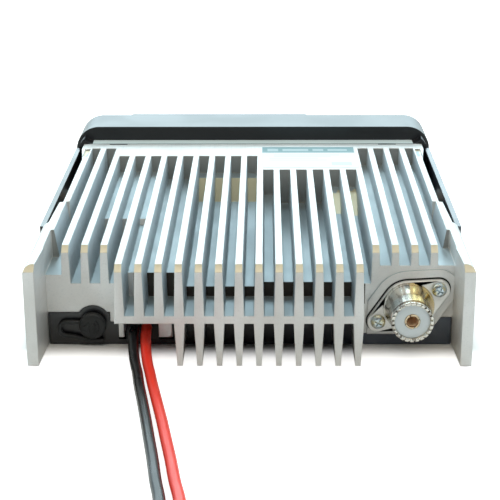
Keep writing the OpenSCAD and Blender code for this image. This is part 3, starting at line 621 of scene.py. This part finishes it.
# node, bevel in mm, segments, body, slot, material
copies = [
    ("chassis", 0.45, 3, "root", "cast_aluminium", castAluminium),
    ("cover", 0.3, 2, "root", "cover_paint", coverPaint),
    ("cover_screws", 0.15, 2, "root", "black_screw", blackScrew),
    ("front_panel", 0.5, 3, "root", "panel_plastic", panelPlastic),
    ("panel_screws", 0.25, 2, "root", "zinc_screw", zincScrew),
    ("display_window", 0.2, 2, "root", "smoked_window", smokedWindow),
    ("lcd_module", 0.1, 2, "root", "lcd_glass", lcdGlass),
    ("lcd_holder", 0.2, 2, "root", "white_plastic", whitePlastic),
    ("control_board", 0.1, 1, "root", "circuit_board", circuitBoard),
    ("panel_ribbon", 0.05, 1, "root", "ribbon", ribbonFilm),
    ("volume_pot", 0.3, 2, "root", "control_body", controlBody),
    ("volume_shaft", 0.2, 2, "volume_control", "steel_shaft", steelShaft),
    ("channel_encoder", 0.3, 2, "root", "control_body", controlBody),
    ("channel_shaft", 0.2, 2, "channel_control", "steel_shaft", steelShaft),
    ("power_key", 0.4, 3, "power_button", "power_key_plastic", powerPlastic),
    ("main_board", 0.1, 1, "root", "circuit_board", circuitBoard),
    ("board_screws", 0.25, 2, "root", "zinc_screw", zincScrew),
    ("power_module", 0.2, 2, "root", "module_ceramic", moduleCeramic),
    ("module_screws", 0.25, 2, "root", "zinc_screw", zincScrew),
    ("shield_can", 0.2, 2, "root", "tinned_steel", tinnedSteel),
    ("filter_coils", 0.2, 2, "root", "copper_wire", copperWire),
    ("electrolytic_caps", 0.4, 3, "root", "cap_sleeve", capSleeve),
    ("speaker", 0.2, 2, "root", "speaker_steel", speakerSteel),
    ("speaker_gasket", 0.1, 1, "root", "black_rubber", blackRubber),
    ("antenna_insulator", 0.12, 2, "root", "white_insulator", whiteInsulator),
    ("antenna_gasket", 0.08, 2, "root", "black_rubber", blackRubber),
    ("antenna_screws", 0.12, 2, "root", "zinc_screw", zincScrew),
    ("speaker_jack", 0.2, 2, "root", "socket_plastic", darkPlastic),
    ("cable_grommet", 0.6, 3, "root", "black_rubber", blackRubber),
    ("power_plug", 0.5, 3, "root", "plug_nylon", plugNylon),
    ("plug_contacts", 0.15, 2, "root", "contact_metal", contactMetal),
    ("rating_label", 0.05, 1, "root", "label_film", labelFilm),
]
for node, width, segments, body, slotName, material in copies:
    settle(bevelledCopy(node, width, material, segments), body, slotName, node)
print("plain pieces made")

lipSettings = {
    "x": (-76.0, 76.0), "y": (166.5, 172.7), "z": 40.0, "height": 0.05,
}


def makeLip(s):
    # a thin pale sheet over the flat ledge behind the brow of the panel, a painted reflection of the pale
    # light
    (x0, x1), z = s["x"], s["z"]
    outline = [(x0, z), (x1, z), (x1, z + s["height"]), (x0, z + s["height"])]
    return slab("lipReflectionMesh", outline, *s["y"])


settle(makeObject("lipReflectionSheet", makeLip(lipSettings), lipReflectionPaint), "root", "panel_plastic")
print("lip made")

socketSettings = {
    # mm; the thread runs between two places along Y
    "place": (60.4, 17.0),
    "outer": 7.94, "inner": 6.62, "shoulder": 9.75, "flange": 17.9, "flangeRear": 17.8,
    "teeth": 24, "notch": 0.8,
    "pitch": 1.058, "threadDepth": 0.16, "threadFrom": 4.6, "threadTo": 11.4,
    "grooves": ((3.5, 4.3), (16.12, 16.47)), "grooveDepth": 0.25,
}


def makeBarrel(s):
    # r = outer - depth*(1 - |2*frac(y/pitch - a/2pi) - 1|), faded out at both ends of the thread
    a = np.linspace(0, 2 * np.pi, s["teeth"] * 12, endpoint=False)
    phase = (a * s["teeth"] / (2 * np.pi)) % 1
    notch = s["notch"] * np.clip((0.17 - np.abs(phase - 0.5)) / 0.05, 0, 1)
    down = np.concatenate([[3.3, 3.45], np.arange(3.6, 11.6, s["pitch"] / 8), [11.6, 15.1],
                           [16.1, 16.15, 16.45, 16.5, 17.6, s["flange"]]])
    outer, shoulder = s["outer"], s["shoulder"]
    wide = np.interp(down, [2, 11.6, 17.6, 18], [outer, outer, shoulder, shoulder])[:, None]
    yy = down[:, None] + 0 * a
    wave = 1 - np.abs(2 * ((yy / s["pitch"] - a / (2 * np.pi)) % 1) - 1)
    fade = np.clip((yy - s["threadFrom"]) / 0.8, 0, 1) * np.clip((s["threadTo"] - yy) / 0.8, 0, 1)
    groove = sum(np.where((yy > low) & (yy < high), s["grooveDepth"], 0) for low, high in s["grooves"])
    outerRows = wide - fade * s["threadDepth"] * wave - groove
    hole = s["inner"]
    ends = [(hole, 17.0), (hole, 3.2), (hole, 2.3), (hole + 0.12, 2.08), (hole + 0.3, 2.0),
            (outer - 0.3, 2.0), (outer - 0.1, 2.1), (outer, 2.35), (outer, 3.0)]
    endR = np.array([[r] * len(a) for r, _ in ends])
    endY = np.array([np.full(len(a), y) + (notch if y < 2.9 else 0) for _, y in ends])
    r = np.vstack([endR, outerRows])
    y = np.vstack([endY, yy])
    points = np.stack([s["place"][0] + r * np.cos(a), y, s["place"][1] + r * np.sin(a)], -1)
    return gridMesh("socketBarrel", shift(points), closeV=True, smooth=50)


contactSettings = {
    # rows are (radius, y) in mm
    "place": socketSettings["place"],
    "finger": [(2.05, 8.6), (2.05, 3.3), (2.25, 2.85), (2.7, 2.85), (2.88, 3.05), (2.88, 8.6)],
    "tube": [(2.05, 8.6), (2.88, 8.6), (2.88, 27), (1.3, 27), (1.3, 33), (0, 33)],
    "bore": [(2.04, 3.6), (2.04, 9.5), (1.5, 10.4), (0, 10.6)],
    "arc": (24, 106),       # degrees that a finger fills, from the start of its quarter
}


def makeContact(s):
    # four fingers with slots between them at the mouth, on a plain tube
    meshes = []
    x, z = s["place"]
    start, stop = s["arc"]
    for quarter in range(4):
        a = np.radians(np.linspace(quarter * 90 + start, quarter * 90 + stop, 20))
        points = [[(x + r * math.cos(t), y, z + r * math.sin(t)) for t in a] for r, y in s["finger"]]
        meshes.append(gridMesh("finger", shift(points), closeU=True, capV=True))
    meshes.append(turned("tube", s["place"], s["tube"], 48))
    return joinMeshes("contactMesh", meshes)


settle(makeObject("antennaBarrel", makeBarrel(socketSettings), socketMetal), "root", "socket_metal")
# the flange is the CAD solid without its barrel
flangeCopy = bevelledCopy("antenna_socket", 0.25, flangeMetal)
b = bmesh.new()
b.from_mesh(flangeCopy.data)
flangeRear = at(0, socketSettings["flangeRear"], 0).y
bmesh.ops.delete(b, geom=[f for f in b.faces if min(v.co.y for v in f.verts) < flangeRear], context="FACES")
b.to_mesh(flangeCopy.data)
b.free()
settle(flangeCopy, "root", "socket_metal", "antenna_socket")
contact = makeObject("antennaContactLook", makeContact(contactSettings), contactMetal)
settle(contact, "root", "contact_metal", "antenna_contact")
bore = turned("contactBoreMesh", contactSettings["place"], contactSettings["bore"], 48)
settle(makeObject("contactBoreLook", bore, contactBore), "root", "contact_metal")
print("antenna socket made")

capSettings = {
    "place": (-60.3, 8.5),
    "profile": [(0, 33), (1.5, 33), (1.75, 32.6), (1.75, 20.8), (4.9, 20.8), (5.2, 20.5), (5.2, 18.6),
                (5.05, 18.25), (4.75, 18.0), (4.35, 17.9), (4.2, 17.98), (0, 17.98)],
    "relief": (17.55, 18.05), "scale": 1.2, "shift": (-0.6, -0.3),
}


def makeCap(s):
    k = s["scale"]
    cx, cz = s["place"][0] + s["shift"][0], s["place"][1] + s["shift"][1]
    meshes = [turned("capBody", s["place"], s["profile"], 72)]
    horn = [(-2.6, -0.6), (-1.7, -0.6), (-0.5, -1.7), (-0.5, 1.7), (-1.7, 0.6), (-2.6, 0.6)]
    meshes.append(slab("horn", [(cx + k * x, cz + k * z) for x, z in horn], *s["relief"]))
    for r in (1.6 * k, 2.7 * k):
        band = ring((cx - 0.3, cz), r + 0.26, -48, 48, 14) + ring((cx - 0.3, cz), r - 0.26, 48, -48, 14)
        meshes.append(slab("wave", band, *s["relief"]))
    return joinMeshes("capMesh", meshes)


settle(makeObject("jackCapLook", makeCap(capSettings), blackRubber), "cap", "black_rubber", "jack_cap")

strapSettings = {
    # (x, z) in mm from the cap to the anchor; the loop has its centre, radius, two angles and steps
    "first": [(-64.9, 9.6), (-67.0, 9.7), (-69.0, 9.72)],
    "loop": ((-70.2, 6.9), 2.82, 84, 276, 24),
    "last": [(-68.0, 3.78), (-65.0, 3.05), (-61.8, 2.45), (-58.5, 2.25), (-56.2, 2.2)],
    "half": (0.85, 0.9),       # half height and half depth of the band
    "depthAt": 19.9,
}


def makeStrap(s):
    # a rounded band swept along a line, a loop and a second line
    p = np.array(s["first"] + ring(*s["loop"]) + s["last"])
    t = np.gradient(p, axis=0)
    t /= np.linalg.norm(t, axis=1)[:, None]
    normal = np.stack([-t[:, 1], t[:, 0]], -1)
    a = np.linspace(0, 2 * np.pi, 20, endpoint=False)
    c, d = np.cos(a), np.sin(a)
    across = s["half"][0] * np.sign(c) * np.abs(c) ** 0.6
    deep = s["half"][1] * np.sign(d) * np.abs(d) ** 0.6
    flat = p[:, None, :] + normal[:, None, :] * across[None, :, None]
    points = np.stack([flat[..., 0], np.broadcast_to(s["depthAt"] + deep, flat.shape[:2]), flat[..., 1]], -1)
    return gridMesh("strapMesh", shift(points.transpose(1, 0, 2)), closeU=True, capV=True, smooth=60)


strap = makeObject("capStrapLook", makeStrap(strapSettings), blackRubber)
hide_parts("cap_strap")
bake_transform(strap)
print("jack cap made")

knobSettings = {
    "volume": {"place": (-72, 15), "r": 7.0, "rear": 197.0, "front": 212.0, "ribs": 24},
    "channel": {"place": (58, 24), "r": 13.5, "rear": 197.0, "front": 211.5, "ribs": 40},
}


ribDepth = 0.45


def makeKnob(name, s):
    # ribbed grip: r falls by ribDepth in each groove; a dished front with a raised pointer line
    a = np.linspace(0, 2 * np.pi, s["ribs"] * 8, endpoint=False)
    rib = ribDepth * (0.5 - 0.5 * np.cos(a * s["ribs"])) ** 2
    r, y0, y1 = s["r"], s["rear"], s["front"]
    # radius, y, share of the groove
    rows = [(3.05, y0 + 0.2, 0), (r - 0.7, y0, 0), (r - 0.1, y0 + 0.15, 0), (r, y0 + 0.5, 0),
            (r, y0 + 1.5, 0), (r - 0.5, y0 + 1.9, 0), (r - 0.6, y0 + 2.3, 1), (r - 0.7, y0 + 6, 1),
            (r - 0.85, y1 - 2.0, 1), (r - 1.05, y1 - 1.4, 0.3), (r - 1.4, y1 - 0.7, 0),
            (r - 2.0, y1 - 0.2, 0), (r - 2.6, y1, 0), (r - 3.2, y1 - 0.05, 0), (r - 3.6, y1 - 0.4, 0),
            (r * 0.4, y1 - 0.55, 0), (0, y1 - 0.6, 0)]
    x, z = s["place"]
    circles = [(wide - deep * rib, np.full(len(a), y)) for wide, y, deep in rows]
    points = np.array([np.stack([x + g * np.cos(a), y, z + g * np.sin(a)], -1) for g, y in circles])
    half, low, high = 0.45, z + r - 4.6, z + r - 2.2
    outline = [(x - half, low), (x + half, low), (x + half, high), (x - half, high)]
    pointer = slab("pointer", outline, y1 - 1.2, y1 - 0.02)
    return gridMesh(name, shift(points), closeV=True, smooth=35), pointer


pointerPaint = surface("pointerPaint", (0.75, 0.76, 0.74), 0.0, 0.5, 1500.0, 60.0, 0.03)
for which in ("volume", "channel"):
    knob, pointer = makeKnob(which + "KnobMesh", knobSettings[which])
    body = which + "_control"
    settle(makeObject(which + "KnobLook", knob, knobPlastic), body, "knob_plastic", which + "_knob")
    settle(makeObject(which + "Pointer", pointer, pointerPaint), body, "knob_plastic")

for number in range(1, 7):
    node = f"key_{number}"
    settle(bevelledCopy(node, 0.5, keyPlastic, 3), "function_" + node, "key_plastic", node)
print("controls made")

displaySettings = {
    "face": 189.0, "left": -47.0, "top": 11.0,
    "height": 14.0, "width": 8.0, "step": 11.2, "bar": 1.4, "lean": 0.1,
    "digits": "14550",
    "lit": {"0": "abcdef", "1": "bc", "4": "fgbc", "5": "afgcd"},
    "dotHalf": 0.6, "dotBefore": 1.6,
    "meter": 14, "meterStep": 3.2, "meterBar": 2.2, "meterTall": (1.2, 0.1), "meterBelow": 5,
    "ink": 0.04,
}


def makeDigits(s):
    # seven bars to a digit; the top of a digit is towards the table, as the radio is turned over in use
    h, w, bar = s["height"], s["width"], s["bar"]
    half, tip, long = bar / 2, bar * 0.6, h / 2
    across = [(tip, 0), (bar, -half), (w - bar, -half), (w - tip, 0), (w - bar, half), (bar, half)]
    upright = [(0, tip), (half, bar), (half, long - bar), (0, long - tip), (-half, long - bar), (-half, bar)]
    shapes = {"a": (across, 0, 0), "g": (across, 0, h / 2), "d": (across, 0, h), "f": (upright, 0, 0),
              "e": (upright, 0, h / 2), "b": (upright, w, 0), "c": (upright, w, h / 2)}
    meshes = []

    def add(outline):
        flat = [(s["left"] + x - (z - h) * s["lean"], s["top"] + z) for x, z in outline]
        meshes.append(slab("bar", flat, s["face"], s["face"] + s["ink"]))

    for place, digit in enumerate(s["digits"]):
        for letter in s["lit"][digit]:
            outline, dx, dz = shapes[letter]
            add([(x + dx + place * s["step"], z + dz) for x, z in outline])
    dot, r = 3 * s["step"] - s["dotBefore"], s["dotHalf"]
    add([(dot - r, h - r), (dot + r, h - r), (dot + r, h + r), (dot - r, h + r)])
    foot = h + s["meterBelow"]
    for i in range(s["meter"]):
        left = i * s["meterStep"]
        right = left + s["meterBar"]
        tall = s["meterTall"][0] + s["meterTall"][1] * i
        add([(left, foot - tall), (right, foot - tall), (right, foot), (left, foot)])
    return joinMeshes("digitsMesh", meshes, 30)


settle(makeObject("displayDigits", makeDigits(displaySettings), lcdInk), "root", "lcd_glass")

micSettings = {
    "x": -72.0, "contacts": 8, "step": 1.02, "half": 0.2,
    "route": [(184.0, 36.2), (187.5, 35.6), (190.5, 34.9), (193.0, 35.4), (194.6, 36.2)],     # (y, z) in mm
}
settle(bevelledCopy("mic_socket", 0.25, darkPlastic, 2), "root", "socket_plastic", "mic_socket")


def makeMicContacts(s):
    # sprung wires that lie along the cavity's far wall
    meshes = []
    a = np.linspace(0, 2 * np.pi, 8, endpoint=False)
    r = s["half"]
    for i in range(s["contacts"]):
        x = s["x"] + (i - (s["contacts"] - 1) / 2) * s["step"]
        points = [[(x + r * math.cos(t), y, z + r * math.sin(t)) for y, z in s["route"]] for t in a]
        meshes.append(gridMesh("spring", shift(points), closeU=True, capV=True))
    return joinMeshes("springsMesh", meshes)


settle(makeObject("micContacts", makeMicContacts(micSettings), contactMetal), "root", "contact_metal")
print("front details made")

stageSettings = {
    "floorColour": (0.9, 0.9, 0.9),
    "floorEdge": 3.0, "floorZ": -0.0002,
    # half width, rear and front of the patch of floor that keeps its shade, in metres
    "clear": (0.084, -0.086, 0.105), "fade": 0.014, "glow": 0.8,
    "front": (0.13, 0.15, 0.17), "top": (0.44, 0.36, 0.22), "back": (0.60, 0.78, 0.86),
    "white": (0.97, 0.99, 1.0),
}


def addFloor(s):
    # away from the radio the floor fades to white, for the camera only
    e = s["floorEdge"]
    mesh = bpy.data.meshes.new("floor")
    mesh.from_pydata([(-e, -e, 0), (e, -e, 0), (e, e, 0), (-e, e, 0)], [], [(0, 1, 2, 3)])
    material, tree, shader = newMaterial("paleFloor")
    setInputs(shader, Base_Color=(*s["floorColour"], 1), Roughness=0.7, Specular_IOR_Level=0.2,
              Emission_Color=(1, 1, 1, 1))
    spot = splitAxes(tree, tree.nodes.new("ShaderNodeNewGeometry").outputs["Position"])
    half, rear, front = s["clear"]
    beside = rampNode(tree, mathNode(tree, "ABSOLUTE", spot["X"]), half, half + s["fade"])
    behind = rampNode(tree, mathNode(tree, "SUBTRACT", rear, spot["Y"]), 0.0, s["fade"])
    ahead = rampNode(tree, spot["Y"], front, front + 8 * s["fade"])
    away = mathNode(tree, "MAXIMUM", mathNode(tree, "MAXIMUM", beside, behind), ahead)
    seen = tree.nodes.new("ShaderNodeLightPath").outputs["Is Camera Ray"]
    tree.links.new(times(tree, times(tree, away, seen), s["glow"]), shader.inputs["Emission Strength"])
    floor = makeObject("floor", mesh, material)
    floor.location.z = s["floorZ"]


def addSoftbox(name, place, aim, size, power, colour):
    light = bpy.data.lights.new(name, "AREA")
    light.shape = "RECTANGLE"
    light.size, light.size_y = size
    light.energy = power
    light.color = colour
    lamp = bpy.data.objects.new(name, light)
    bpy.context.scene.collection.objects.link(lamp)
    lamp.location = place
    lamp.rotation_euler = (Vector(aim) - Vector(place)).to_track_quat("-Z", "Y").to_euler()


def addWorld(s):
    # white to the camera; to all else a dim room with a warm ceiling and a pale wall at the back
    world = bpy.data.worlds.new("studio")
    world.use_nodes = True
    tree = world.node_tree
    toward = splitAxes(tree, tree.nodes.new("ShaderNodeTexCoord").outputs["Generated"])
    room = mixColour(tree, rampNode(tree, toward["Z"], 0.35, 0.75), s["front"], s["top"])
    room = mixColour(tree, rampNode(tree, toward["Y"], 0.0, 0.5), room, s["back"])
    seen = tree.nodes.new("ShaderNodeLightPath").outputs["Is Camera Ray"]
    tree.links.new(mixColour(tree, seen, room, s["white"]), tree.nodes["Background"].inputs["Color"])
    bpy.context.scene.world = world


addFloor(stageSettings)
addWorld(stageSettings)
bpy.context.scene.view_settings.view_transform = "Standard"
# name, place, aim and size in metres, watts, colour
softboxes = [
    ("backSoftbox", (0, 1.7, 0.95), (0, 0, 0.05), (3.0, 1.7), 38, (0.78, 0.95, 1.0)),
    ("sideSoftbox", (-1.3, -0.2, 1.1), (0, 0, 0), (0.9, 1.2), 8, (0.80, 0.94, 1.0)),
    ("sideSoftbox", (1.3, -0.2, 1.1), (0, 0, 0), (0.9, 1.2), 8, (0.80, 0.94, 1.0)),
    ("floorLight", (0, -0.9, 1.3), (0, -0.45, 0), (1.6, 0.5), 6, (1.0, 0.98, 0.95)),
]
for softbox in softboxes:
    addSoftbox(*softbox)
print("stage lit")
